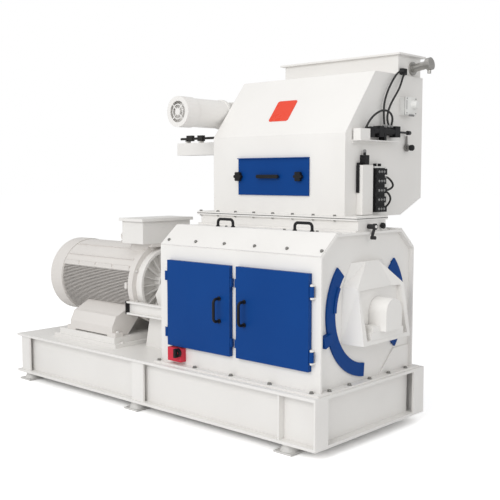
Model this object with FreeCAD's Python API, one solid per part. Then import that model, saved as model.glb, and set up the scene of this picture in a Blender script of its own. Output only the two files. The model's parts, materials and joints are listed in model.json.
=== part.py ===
# Hammer mill for grain, with its drive motor and its feeder on one welded base.
# Millimetres. +X runs along the rotor shaft from the motor to the mill, -Y is the side
# with the two blue doors, +Z is up. The origin is on the floor under the middle of the base.
import FreeCAD, Part
import math
import os

V = FreeCAD.Vector

# ---- base frame
BASE_LENGTH = 2972.0
BASE_WIDTH = 1140.0
FOOT_HEIGHT = 60.0
BEAM_HEIGHT = 300.0
FLANGE_WIDTH = 120.0
FLANGE_THICK = 18.0
WEB_THICK = 12.0
BASE_TOP = FOOT_HEIGHT + BEAM_HEIGHT
FLANGE_TIP = 45.0
FOOT_X = (-1390.0, -108.0, 1245.0)
FOOT_Y = 500.0

# ---- shaft line
SHAFT_Z = 797.0
SHAFT_R = 60.0
JOURNAL_R = 40.0
SHAFT_LEFT = -92.0
SHAFT_RIGHT = 1600.0

# ---- mill casing
CASING_X0 = 118.0
CASING_X1 = 1422.0
CASING_Y = 480.0
KNEE_Z = 1138.0
RIDGE_Y = 335.0
CASING_TOP = 1260.0
RIM_DEPTH = 30.0
RIM_THICK = 14.0
COVER_THICK = 8.0
COVER_FLANGE = 50.0
RIDGE_BOLT_Y = 316.0
WALL = 16.0
END_WALL = 20.0

# ---- grinding chamber
DISC_COUNT = 9
DISC_FIRST_X = 170.0
DISC_PITCH = 150.0
DISC_THICK = 12.0
DISC_R = 290.0
PIN_R = 12.5
PIN_CIRCLE_R = 255.0
HAMMER_TIP_R = 356.0
HAMMER_WIDTH = 50.0
HAMMER_THICK = 8.0
SCREEN_R = 370.0
SCREEN_THICK = 6.0
FRONT_SCREEN_ARC = (138.0, 264.0)
REAR_SCREEN_ARC = (-42.0, 45.0)
RUNNING_FIT = 0.05

# ---- doors
DOOR_WIDTH = 560.0
DOOR_Z0 = 490.0
DOOR_Z1 = 1048.0
DOOR_LEFT_X = 213.0
DOOR_RIGHT_X = 826.0
DOOR_GAP = 2.0
DOOR_DEPTH = 28.0
HINGE_R = 13.0
HINGE_PIN_R = 6.0
HINGE_Z = (575.0, 945.0)

# ---- neck between the mill and the feeder
NECK_X = (95.0, 1415.0)
NECK_Y = (-82.0, 207.0)
FEEDER_BOTTOM = 1337.0
LEVER_Y = 20.0
LEVER_Z = 1290.0

# ---- feeder casing
FEEDER_X0 = 162.0
FEEDER_X1 = 1275.0
FEEDER_FRONT_Y = -25.0
FEEDER_REAR_Y = 845.0
FEEDER_KNEE_Z = 1850.0
FEEDER_TOP_Y = 285.0
FEEDER_TOP = 2244.0
FEEDER_WALL = 10.0
ROLL_Y = 330.0
ROLL_Z = 2080.0
ROLL_R = 105.0
COLLAR_X = (309.0, 1262.0)
COLLAR_Y = (565.0, 835.0)
COLLAR_TOP = 2372.0

# ---- inspection hatch on the feeder
HATCH_X = (404.0, 1004.0)
HATCH_Z = (1466.0, 1708.0)
HATCH_KNOB_X = (414.0, 931.0)
HATCH_KNOB_Z = 1587.0

# ---- electric motor
MOTOR_COWL_X0 = -1462.0
MOTOR_BODY_X = (-1290.0, -440.0)
MOTOR_R = 285.0
MOTOR_CORE_R = 256.0
MOTOR_FOOT_Z = 430.0
MOTOR_RING_X = (-446.0, -395.0)
MOTOR_RING_R = 302.0
TERMINAL_X = (-585.0, -352.0)
TERMINAL_Y = 232.0
TERMINAL_Z0 = 1100.0
TERMINAL_Z1 = 1262.0
SHIELD_R = 265.0
SHIELD_X1 = -335.0
FIN_PITCH = 11.0
FIN_FIRST_Z = 567.0
FIN_COUNT = 31

# ---- outboard bearing bracket
BRACKET_LOW_Z = 618.0
BRACKET_SHELF_Z = 645.0
BRACKET_WEB_X = (1484.0, 1497.0)
BRACKET_X1 = 1579.0
NOSE_R = 82.0
NOSE_X1 = 1620.0
OUTBOARD_SEAT_Z = 690.0
DRIVE_SEAT_Z = 640.0
OUTBOARD_BEARING_X = 1520.0
DRIVE_BEARING_X = 10.0
BEARING_OUTER_R = 65.0

# ---- coupling and its guard
COUPLING_FLANGE_R = 96.0
COUPLING_HUB_R = 60.0
COUPLING_MOTOR_X = (-134.0, -112.0)
COUPLING_ELEMENT_X = (-110.0, -88.0)
COUPLING_MILL_X = (-88.0, -66.0)
RAIL_X0 = -440.0
RAIL_Y = (290.0, 326.0)
RAIL_Z = (596.0, 690.0)

# ---- feeder controls
ROLL_SHAFT_R = 20.0
FEED_MOTOR_R = 98.0
FLAP_SHAFT_R = 12.0
FLAP_Y = 640.0
FLAP_Z = 1774.0
CYLINDER_Z = 1870.0
CYLINDER_ROD_R = 7.0
HOSE_R = 6.5
FITTING_TOP = 1908.0
GEARMOTOR_X = 55.0
GEARMOTOR_Z = 2024.0
SENSOR_Y = 730.0
SENSOR_Z = 2297.0
SENSOR_TILT = 9.0

# ---- isolator switch on the casing front
ISOLATOR_X = (228.0, 354.0)
ISOLATOR_Z = (393.0, 481.0)
ISOLATOR_KNOB_X = 333.0
ISOLATOR_KNOB_Z = 455.0


# ------------------------------------------------------------------ shape helpers
def box(x0, x1, y0, y1, z0, z1):
    return Part.makeBox(x1 - x0, y1 - y0, z1 - z0, V(x0, y0, z0))


def rod(x, y, z, radius, length, axis):
    return Part.makeCylinder(radius, length, V(x, y, z), V(*axis))


def rod_x(x0, x1, y, z, radius):
    return rod(x0, y, z, radius, x1 - x0, (1, 0, 0))


def rod_y(x, y0, y1, z, radius):
    return rod(x, y0, z, radius, y1 - y0, (0, 1, 0))


def rod_z(x, y, z0, z1, radius):
    return rod(x, y, z0, radius, z1 - z0, (0, 0, 1))


def tube_x(x0, x1, y, z, outer, inner):
    return rod_x(x0, x1, y, z, outer).cut(rod_x(x0 - 1, x1 + 1, y, z, inner))


def extrude(points, direction):
    """Solid from a flat outline of 3-D points pushed along direction."""
    outline = [V(*p) for p in points]
    face = Part.Face(Part.makePolygon(outline + [outline[0]]))
    return face.extrude(V(*direction))


def along_x(yz, x0, x1):
    return extrude([(x0, y, z) for y, z in yz], (x1 - x0, 0, 0))


def along_y(xz, y0, y1):
    return extrude([(x, y0, z) for x, z in xz], (0, y1 - y0, 0))


def along_z(xy, z0, z1):
    return extrude([(x, y, z0) for x, y in xy], (0, 0, z1 - z0))


def joined(shapes):
    """One solid from touching pieces, as a weldment or casting."""
    first = shapes[0]
    return first.multiFuse(shapes[1:]).removeSplitter()


def group(shapes):
    """Separate solids of one kind, such as a set of bolts."""
    solids = []
    for shape in shapes:
        solids += shape.Solids
    return Part.makeCompound(solids)


def without(shape, cutters):
    return shape.cut(Part.makeCompound(cutters))


def mirrored_y(shape):
    return shape.mirror(V(0, 0, 0), V(0, 1, 0))


def turned_about_shaft(shape, degrees):
    turned = shape.copy()
    turned.rotate(V(0, 0, SHAFT_Z), V(1, 0, 0), degrees)
    return turned


def arc_plate(x0, x1, inner, outer, start, end):
    """Part of a ring about the shaft line. Angles run from +Y towards +Z."""
    ring = Part.makeCylinder(outer, x1 - x0, V(x0, 0, SHAFT_Z), V(1, 0, 0), end - start)
    core = rod_x(x0 - 1, x1 + 1, 0, SHAFT_Z, inner)
    sector = ring.cut(core)
    sector.rotate(V(0, 0, SHAFT_Z), V(1, 0, 0), start - sector_start_angle())
    return sector


def sector_start_angle():
    """Angle from +Y at which a cylinder about +X starts its sector."""
    probe = Part.makeCylinder(1.0, 1.0, V(0, 0, 0), V(1, 0, 0), 1.0)
    corner = max(probe.Vertexes, key=lambda v: v.Y ** 2 + v.Z ** 2)
    return round(math.degrees(math.atan2(corner.Z, corner.Y)) / 90.0) * 90.0


def hexagon(radius):
    return [(radius * math.cos(math.radians(60 * i)), radius * math.sin(math.radians(60 * i)))
            for i in range(6)]


def bolt_head(point, normal, size):
    """Washer and hexagon head lying on a surface at point, facing normal."""
    washer = Part.makeCylinder(size * 1.1, size * 0.2, V(0, 0, 0), V(0, 0, 1))
    head = along_z(hexagon(size * 0.92), size * 0.2, size * 0.9)
    bolt = joined([washer, head])
    bolt.Placement = FreeCAD.Placement(V(*point), FreeCAD.Rotation(V(0, 0, 1), V(*normal)))
    return bolt


def faceted(points, faces):
    """Closed solid from corner points and flat faces given as loops of point names."""
    shell = []
    for names in faces:
        loop = [V(*points[name]) for name in names]
        shell.append(Part.Face(Part.makePolygon(loop + [loop[0]])))
    solid = Part.Solid(Part.Shell(shell))
    if solid.Volume < 0:
        solid.reverse()
    return solid


def swept_tube(points, radius):
    """Round hose or bent bar through points, as a smooth curve."""
    spline = Part.BSplineCurve()
    spline.interpolate([V(*p) for p in points])
    path = Part.Wire(spline.toShape())
    tangent = spline.tangent(spline.FirstParameter)[0]
    profile = Part.Wire(Part.makeCircle(radius, V(*points[0]), tangent))
    return path.makePipeShell([profile], True, True)


def bow_handle(start, end, out, radius):
    """Bow handle: a bar bent through two rounded corners, standing out from its two ends."""
    start = V(*start)
    end = V(*end)
    out = V(*out)
    bend = radius * 2.6
    along = (end - start).normalize()
    up = V(out).normalize()
    top_start = start + out
    top_end = end + out
    edges = [
        Part.makeLine(start, top_start - up * bend),
        corner_arc(top_start - up * bend, top_start, top_start + along * bend),
        Part.makeLine(top_start + along * bend, top_end - along * bend),
        corner_arc(top_end - along * bend, top_end, top_end - up * bend),
        Part.makeLine(top_end - up * bend, end),
    ]
    profile = Part.Wire(Part.makeCircle(radius, start, up))
    bar = Part.Wire(edges).makePipeShell([profile], True, True)
    feet = [Part.makeCylinder(radius * 1.5, radius * 0.7, point, up) for point in (start, end)]
    return joined([bar] + feet)


def corner_arc(before, corner, after):
    """Quarter round from before to after, tangent to both legs of a square corner."""
    centre = before + after - corner
    reach = (before - centre).Length
    middle = centre + (corner - centre).normalize() * reach
    return Part.Arc(before, middle, after).toShape()


# ------------------------------------------------------------------ base
def long_beam():
    """Front I-beam of the base, with its stiffener plates and closed right end."""
    x0 = -BASE_LENGTH / 2
    x1 = BASE_LENGTH / 2
    y0 = -BASE_WIDTH / 2
    y1 = y0 + FLANGE_WIDTH
    middle = (y0 + y1) / 2
    web_x0 = x0 + FLANGE_TIP
    lower = box(x0, x1, y0, y1, FOOT_HEIGHT, FOOT_HEIGHT + FLANGE_THICK)
    upper = box(x0, x1, y0, y1, BASE_TOP - FLANGE_THICK, BASE_TOP)
    web = box(web_x0, x1, middle - WEB_THICK / 2, middle + WEB_THICK / 2, FOOT_HEIGHT, BASE_TOP)
    posts = [
        box(web_x0, web_x0 + 108, y0 + 12, y0 + 26, FOOT_HEIGHT, BASE_TOP),
        box(web_x0, web_x0 + WEB_THICK, y0 + 12, y1, FOOT_HEIGHT, BASE_TOP),
        box(-102, 17, y0 + 12, y0 + 26, FOOT_HEIGHT, BASE_TOP),
        box(-48, -36, y0 + 12, y1, FOOT_HEIGHT, BASE_TOP),
        box(1202, 1216, y0 + 8, y1, FOOT_HEIGHT, BASE_TOP),
        box(x1 - 14, x1, y0, y1, FOOT_HEIGHT, BASE_TOP),
    ]
    return joined([lower, upper, web] + posts)


def cross_beam(x, width):
    """I-beam across the base, centred on x, between the long beams."""
    y0 = -BASE_WIDTH / 2 + FLANGE_WIDTH - 2
    lower = box(x - width / 2, x + width / 2, y0, -y0, FOOT_HEIGHT, FOOT_HEIGHT + FLANGE_THICK)
    upper = box(x - width / 2, x + width / 2, y0, -y0, BASE_TOP - FLANGE_THICK, BASE_TOP)
    web = box(x - WEB_THICK / 2, x + WEB_THICK / 2, y0, -y0, FOOT_HEIGHT, BASE_TOP)
    return [lower, upper, web]


def motor_bed_plates():
    """Two stacked plates between the base deck and the motor feet."""
    lower = box(-1180, -430, -432, 432, BASE_TOP, BASE_TOP + 26)
    upper = box(-1128, -462, -416, 416, BASE_TOP + 26, MOTOR_FOOT_Z)
    return [lower, upper]


def base_frame():
    """Welded frame: two long beams, cross beams and a deck plate under the motor."""
    x0 = -BASE_LENGTH / 2
    x1 = BASE_LENGTH / 2
    deck_y = BASE_WIDTH / 2 - FLANGE_WIDTH + 2
    pieces = [long_beam(), mirrored_y(long_beam())]
    for x in (x0 + 75, -760, -42, 60, x1 - 60):
        pieces += cross_beam(x, FLANGE_WIDTH)
    pieces.append(box(x0, CASING_X0, -deck_y, deck_y, BASE_TOP - 14, BASE_TOP))
    for x, y in foot_places():
        pieces.append(rod_z(x, y, FOOT_HEIGHT - 14, FOOT_HEIGHT + 4, 46))
    pieces += motor_bed_plates()
    pieces.append(drive_pedestal())
    return joined(pieces)


def foot_places():
    return [(x, y) for x in FOOT_X for y in (-FOOT_Y, FOOT_Y)]


def levelling_feet():
    """Six feet, each a square floor plate under a rubber dome."""
    pieces = []
    for x, y in foot_places():
        pieces.append(box(x - 68, x + 68, y - 68, y + 68, 0, 12))
        pieces.append(Part.makeCone(58, 42, 34, V(x, y, 12), V(0, 0, 1)))
    return group(pieces)


# ------------------------------------------------------------------ mill casing
SLOPE_LENGTH = math.hypot(CASING_Y - RIDGE_Y, CASING_TOP - KNEE_Z)
SLOPE_ANGLE = math.degrees(math.atan2(CASING_TOP - KNEE_Z, CASING_Y - RIDGE_Y))


def casing_outline(inset):
    """Outline of the mill casing seen along the shaft, shrunk by a wall thickness."""
    slope = inset * math.tan(math.radians(90 - SLOPE_ANGLE) / 2)
    half = CASING_Y - inset
    ridge = RIDGE_Y - inset * math.tan(math.radians(SLOPE_ANGLE) / 2)
    knee = KNEE_Z - slope
    top = CASING_TOP - inset
    return [(-half, BASE_TOP), (-half, knee), (-ridge, top), (ridge, top), (half, knee),
            (half, BASE_TOP)]


def slope_vectors(side):
    """Knee point, unit vector up the slope and outward normal of a sloped casing wall."""
    rise = V(0, -side * (CASING_Y - RIDGE_Y), CASING_TOP - KNEE_Z)
    up = V(rise).normalize()
    normal = V(0, side * up.z, -side * up.y)
    return V(0, side * CASING_Y, KNEE_Z), up, normal


def slope_box(side, x0, x1, s0, s1, n0, n1):
    """Block lying on a sloped wall: s runs up the slope and n outwards from it."""
    knee, up, normal = slope_vectors(side)
    corner = knee + up * s0 + normal * n0
    points = []
    for s, n in ((0, 0), (s1 - s0, 0), (s1 - s0, n1 - n0), (0, n1 - n0)):
        point = corner + up * s + normal * n
        points.append((point.y, point.z))
    return along_x(points, x0, x1)


def door_openings():
    cutters = []
    for x0 in (DOOR_LEFT_X, DOOR_RIGHT_X):
        for y0 in (-CASING_Y - 10, CASING_Y - WALL - 10):
            cutters.append(box(x0 + 24, x0 + DOOR_WIDTH - 24, y0, y0 + WALL + 20,
                               DOOR_Z0 + 24, DOOR_Z1 - 24))
    return cutters


def mill_casing():
    """Welded casing, open below into the base and above into the neck."""
    shell = along_x(casing_outline(0), CASING_X0, CASING_X1)
    inside = along_x(casing_outline(WALL), CASING_X0 + END_WALL, CASING_X1 - END_WALL)
    low = BASE_TOP
    foot_flange = joined([
        box(CASING_X0 - 20, BASE_LENGTH / 2 - 12, -530, -CASING_Y + 2, low, low + 12),
        box(CASING_X0 - 20, BASE_LENGTH / 2 - 12, CASING_Y - 2, 530, low, low + 12),
        box(CASING_X1 - 2, BASE_LENGTH / 2 - 12, -530, 530, low, low + 12),
    ])
    rib = along_x(casing_outline(WALL - 2), 774, 784)
    rib = rib.cut(rod_x(770, 790, 0, SHAFT_Z, SCREEN_R + SCREEN_THICK + 4))
    rib = rib.cut(box(770, 790, -CASING_Y, CASING_Y, SHAFT_Z + 250, CASING_TOP + 5))
    rib = rib.cut(box(770, 790, -CASING_Y, CASING_Y, low - 5, low + 42))
    guide = tube_x(CASING_X0 + END_WALL - 2, CASING_X0 + END_WALL + 12, 0, SHAFT_Z,
                   SCREEN_R + 30, SCREEN_R + SCREEN_THICK + 4)
    lower_plate = along_x([(130, 368), (290, 515), (470, 515), (470, 368)],
                          CASING_X1 - 2, CASING_X1 + 9)
    body = joined([shell.cut(inside), casing_rim(), foot_flange, rib, guide, lower_plate])
    cutters = door_openings()
    cutters.append(box(CASING_X0 + 34, CASING_X1 - 34, -58, 183, CASING_TOP - 40, CASING_TOP + 5))
    cutters.append(rod_x(CASING_X0 - 5, CASING_X0 + 40, 0, SHAFT_Z, SHAFT_R + 2))
    cutters.append(rod_x(CASING_X1 - 40, CASING_X1 + 40, 0, SHAFT_Z, SHAFT_R + 2))
    for side in (-1, 1):
        cutters.append(slope_box(side, CASING_X0 + 60, CASING_X1 - 60, 40, SLOPE_LENGTH - 40,
                                 -WALL - 12, 10))
    for start, end in (FRONT_SCREEN_ARC, REAR_SCREEN_ARC):
        cutters.append(arc_plate(CASING_X1 - END_WALL - 5, CASING_X1 + 20, SCREEN_R - 4,
                                 SCREEN_R + SCREEN_THICK + 4, start - 1, end + 1))
    cutters.append(rod_y(ISOLATOR_X[0] + 28, -CASING_Y - 5, -CASING_Y + WALL + 5,
                         ISOLATOR_Z[0] + 44, 10))
    return without(body, cutters)


def casing_rim():
    """Rim that stands out round the right end wall."""
    outer = along_x(casing_outline(0), CASING_X1 - 2, CASING_X1 + RIM_DEPTH)
    return outer.cut(along_x(casing_outline(RIM_THICK), CASING_X1 - 3, CASING_X1 + RIM_DEPTH + 1))


def slope_cover(side):
    """Bolted cover plate on a sloped casing wall, bent over the ridge into a flat flange."""
    knee, up, normal = slope_vectors(side)
    foot = knee + up * 4
    outer_foot = foot + normal * COVER_THICK
    bend = RIDGE_Y + COVER_THICK * math.tan(math.radians(SLOPE_ANGLE) / 2)
    inner_y = RIDGE_Y - COVER_FLANGE
    points = [(foot.y, foot.z), (side * RIDGE_Y, CASING_TOP), (side * inner_y, CASING_TOP),
              (side * inner_y, CASING_TOP + COVER_THICK), (side * bend, CASING_TOP + COVER_THICK),
              (outer_foot.y, outer_foot.z)]
    return along_x(points, CASING_X0 + 4, CASING_X1 + RIM_DEPTH - 4)


def slope_bolts():
    """Bolts along the lower edge and along the ridge flange of both sloped covers."""
    heads = []
    for side in (-1, 1):
        knee, up, normal = slope_vectors(side)
        for i in range(6):
            point = knee + up * 44 + normal * COVER_THICK + V(172 + 252 * i, 0, 0)
            heads.append(bolt_head(tuple(point), tuple(normal), 10))
        for x in (561, 1045, 1293):
            heads.append(bolt_head((x, side * RIDGE_BOLT_Y, CASING_TOP + COVER_THICK), (0, 0, 1), 9))
    return heads


def cover_handles():
    """Two bow handles standing upright on the ridge flange of each sloped cover."""
    bars = []
    z = CASING_TOP + COVER_THICK
    for side in (-1, 1):
        y = side * RIDGE_BOLT_Y
        for x0, x1 in ((488, 620), (1125, 1255)):
            bars.append(bow_handle((x0, y, z), (x1, y, z), (0, 0, 48), 9))
    return group(bars)


def casing_bolts():
    """Bolts of the sloped covers, of the casing flange and of the feeder flange."""
    heads = slope_bolts() + feeder_flange_bolts()
    top = BASE_TOP + 12
    for x in (124, 462, 780, 1094, 1407):
        for y in (-506, 506):
            heads.append(bolt_head((x, y, top), (0, 0, 1), 13))
    for y in (-400, -206, 0, 206, 400):
        heads.append(bolt_head((1452, y, top), (0, 0, 1), 13))
    return group(heads)


# ------------------------------------------------------------------ doors
def hinge_axis_x(x0, hinge_right):
    return x0 + DOOR_WIDTH + HINGE_R + 2 if hinge_right else x0 - HINGE_R - 2


HINGE_AXIS_Y = CASING_Y + DOOR_GAP + DOOR_DEPTH - 10


def door(x0, hinge_right, side):
    """Pressed door pan with two hinge knuckles on one edge and two latch lugs on the other."""
    near = CASING_Y + DOOR_GAP
    far = near + DOOR_DEPTH
    x1 = x0 + DOOR_WIDTH
    y0, y1 = (-far, -near) if side < 0 else (near, far)
    hollow_y = (-far + 8, -near + 1) if side < 0 else (near - 1, far - 8)
    pan = box(x0, x1, y0, y1, DOOR_Z0, DOOR_Z1)
    hollow = box(x0 + 8, x1 - 8, hollow_y[0], hollow_y[1], DOOR_Z0 + 8, DOOR_Z1 - 8)
    pan = pan.cut(hollow)
    axis_x = hinge_axis_x(x0, hinge_right)
    axis_y = side * HINGE_AXIS_Y
    pieces = [pan]
    bores = []
    for z in HINGE_Z:
        strap_x = (x1 - 4, axis_x) if hinge_right else (axis_x, x0 + 4)
        pieces.append(rod_z(axis_x, axis_y, z - 30, z + 30, HINGE_R))
        pieces.append(box(strap_x[0], strap_x[1], axis_y - 6, axis_y + 6, z - 30, z + 30))
        bores.append(rod_z(axis_x, axis_y, z - 35, z + 35, HINGE_PIN_R + RUNNING_FIT))
        lug_x = (x0 - 14, x0 + 4) if hinge_right else (x1 - 4, x1 + 14)
        pieces.append(box(lug_x[0], lug_x[1], y0 + 4, y1 - 4, z - 26, z + 26))
    return without(joined(pieces), bores)


def hinge_brackets():
    """Fixed hinge ears with their pins, welded to the casing beside each door edge."""
    ears = []
    for side in (-1, 1):
        for x0, hinge_right in ((DOOR_LEFT_X, False), (DOOR_RIGHT_X, True)):
            x = hinge_axis_x(x0, hinge_right)
            y = side * HINGE_AXIS_Y
            y0, y1 = (y, -CASING_Y) if side < 0 else (CASING_Y, y)
            for z in HINGE_Z:
                pin = rod_z(x, y, z - 44, z + 44, HINGE_PIN_R)
                pieces = [pin]
                for z0 in (z - 42, z + 31):
                    pieces.append(box(x - 10, x + 10, y0, y1, z0, z0 + 11))
                    pieces.append(rod_z(x, y, z0, z0 + 11, 10))
                ears.append(joined(pieces))
    return group(ears)


def door_handle(x, side):
    """Black bow handle standing upright on a door."""
    y = side * (CASING_Y + DOOR_GAP + DOOR_DEPTH)
    return bow_handle((x, y, 700), (x, y, 840), (0, side * 52, 0), 9)


# ------------------------------------------------------------------ rotor
def disc_spacer_sleeves():
    """Sleeves on the shaft that set the distance between the discs."""
    sleeves = []
    for i in range(DISC_COUNT - 1):
        x0 = DISC_FIRST_X + DISC_PITCH * i + DISC_THICK / 2
        x1 = x0 + DISC_PITCH - DISC_THICK
        sleeves.append(rod_x(x0 + 0.5, x1 - 0.5, 0, SHAFT_Z, SHAFT_R + 22))
    return sleeves


def rotor_shaft():
    """Stepped rotor shaft with spacer sleeves between the discs and a coupling keyway."""
    shaft = joined([
        rod_x(SHAFT_LEFT, SHAFT_RIGHT, 0, SHAFT_Z, JOURNAL_R),
        rod_x(CASING_X0 - 4, CASING_X1 + 4, 0, SHAFT_Z, SHAFT_R),
    ] + disc_spacer_sleeves())
    keyway = box(SHAFT_LEFT - 1, SHAFT_LEFT + 50, -8, 8, SHAFT_Z + JOURNAL_R - 8,
                 SHAFT_Z + JOURNAL_R + 1)
    return shaft.cut(keyway)


def pin_positions():
    return [(PIN_CIRCLE_R * math.cos(math.radians(90 * i + 45)),
             SHAFT_Z + PIN_CIRCLE_R * math.sin(math.radians(90 * i + 45))) for i in range(4)]


def rotor_discs():
    """Discs keyed to the shaft, which carry the four hammer pins."""
    discs = []
    for i in range(DISC_COUNT):
        x = DISC_FIRST_X + DISC_PITCH * i - DISC_THICK / 2
        disc = rod_x(x, x + DISC_THICK, 0, SHAFT_Z, DISC_R)
        cutters = [rod_x(x - 1, x + DISC_THICK + 1, 0, SHAFT_Z, SHAFT_R + 0.02)]
        for y, z in pin_positions():
            cutters.append(rod_x(x - 1, x + DISC_THICK + 1, y, z, PIN_R + 0.02))
        for k in range(4):
            angle = math.radians(90 * k)
            cutters.append(rod_x(x - 1, x + DISC_THICK + 1, 165 * math.cos(angle),
                                 SHAFT_Z + 165 * math.sin(angle), 45))
        discs.append(without(disc, cutters))
    return group(discs)


def hammer_pins():
    """Four pins through the discs, each with end caps and its spacer sleeves."""
    x0 = DISC_FIRST_X - DISC_THICK / 2 - 10
    x1 = DISC_FIRST_X + DISC_PITCH * (DISC_COUNT - 1) + DISC_THICK / 2 + 10
    pins = []
    for y, z in pin_positions():
        pins.append(joined([
            rod_x(x0, x1, y, z, PIN_R),
            rod_x(x0 - 6, x0 + 9, y, z, PIN_R + 6),
            rod_x(x1 - 9, x1 + 6, y, z, PIN_R + 6),
        ]))
    return group(pins + pin_spacers())


def hammer_stations():
    """Mid-planes of the two hammers in every gap between discs."""
    stations = []
    for i in range(DISC_COUNT - 1):
        gap_x = DISC_FIRST_X + DISC_PITCH * (i + 0.5)
        stations += [gap_x - 23, gap_x + 23]
    return stations


def pin_spacers():
    """Short sleeves on the pins that keep the hammers apart."""
    sleeves = []
    half_gap = (DISC_PITCH - DISC_THICK) / 2
    for y, z in pin_positions():
        for i in range(DISC_COUNT - 1):
            gap_x = DISC_FIRST_X + DISC_PITCH * (i + 0.5)
            for x0, x1 in ((-half_gap + 0.5, -28), (-18, 18), (28, half_gap - 0.5)):
                sleeves.append(tube_x(gap_x + x0, gap_x + x1, y, z, PIN_R + 7, PIN_R + 0.02))
    return sleeves


def hammer_row(index):
    """Loose hammers along one pin, standing straight out from the rotor."""
    reach = HAMMER_TIP_R - PIN_CIRCLE_R
    half = HAMMER_WIDTH / 2
    hammers = []
    for x in hammer_stations():
        x0 = x - HAMMER_THICK / 2
        blade = joined([
            box(x0, x0 + HAMMER_THICK, PIN_CIRCLE_R, PIN_CIRCLE_R + reach, SHAFT_Z - half,
                SHAFT_Z + half),
            rod_x(x0, x0 + HAMMER_THICK, PIN_CIRCLE_R, SHAFT_Z, half),
        ])
        bore = rod_x(x0 - 1, x0 + HAMMER_THICK + 1, PIN_CIRCLE_R, SHAFT_Z, PIN_R + RUNNING_FIT)
        hammers.append(turned_about_shaft(blade.cut(bore), 90 * index + 45))
    return group(hammers)


def screen(arc):
    """Curved perforated sieve that slides along the shaft line on its guides."""
    start, end = arc
    x0 = CASING_X0 + END_WALL + 4
    sheet = arc_plate(x0, CASING_X1, SCREEN_R, SCREEN_R + SCREEN_THICK, start, end)
    rows = int((end - start) / 12.0)
    holes = []
    for j in range(rows):
        angle = start + (j + 0.5) * (end - start) / rows
        direction = (0, math.cos(math.radians(angle)), math.sin(math.radians(angle)))
        for i in range(15):
            if abs(i - 7) < 1:
                continue
            x = x0 + 62 + 82 * i
            y = (SCREEN_R - 20) * direction[1]
            z = SHAFT_Z + (SCREEN_R - 20) * direction[2]
            holes.append(rod(x, y, z, 16, 60, direction))
    return without(sheet, holes)


def front_screen_cover():
    """Blue arc plate that closes the front slot, with a pull tab and a lock strip."""
    start, end = FRONT_SCREEN_ARC
    plate = arc_plate(CASING_X1, CASING_X1 + 12, 324, 405, start, end + 1)
    tab = arc_plate(CASING_X1, CASING_X1 + 34, 398, 472, 194, 202)
    lock = arc_plate(CASING_X1 + 10, CASING_X1 + 18, 320, 344, 152, 178)
    return joined([plate, tab, lock])


def rear_screen_cover():
    start, end = REAR_SCREEN_ARC
    return arc_plate(CASING_X1, CASING_X1 + 12, 324, 405, start, end)


# ------------------------------------------------------------------ bearings
def bearing_ring(x, outer, inner):
    return tube_x(x, x + 46, 0, SHAFT_Z, outer, inner)


def bearing_housings():
    """The two plummer blocks that carry the rotor shaft."""
    return group([
        bearing_housing(BRACKET_WEB_X[1] + 1, NOSE_X1, True, OUTBOARD_SEAT_Z),
        bearing_housing(-34, 86, False, DRIVE_SEAT_Z),
    ])


def bearing_inner_rings():
    """Inner bearing rings on the two shaft journals."""
    return group([bearing_ring(x, BEARING_OUTER_R, JOURNAL_R + 0.02)
                  for x in (OUTBOARD_BEARING_X, DRIVE_BEARING_X)])


def bearing_housing(x0, x1, nose_closed, seat_z):
    """Plummer block: a round barrel with an arched end, standing on a flat sole."""
    barrel = rod_x(x0, x1, 0, SHAFT_Z, NOSE_R)
    legs = box(x0, x1, -NOSE_R, NOSE_R, seat_z, SHAFT_Z)
    sole = box(x0 + 4, x1 - 44, -150, 150, seat_z, seat_z + 34)
    body = joined([barrel, legs, sole])
    ring_x = OUTBOARD_BEARING_X if nose_closed else DRIVE_BEARING_X
    cutters = [rod_x(ring_x - 2, ring_x + 48, 0, SHAFT_Z, BEARING_OUTER_R + RUNNING_FIT)]
    end = x1 - 12 if nose_closed else x1 + 1
    cutters.append(rod_x(x0 - 1, end, 0, SHAFT_Z, JOURNAL_R + 3))
    return without(body, cutters)


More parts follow.
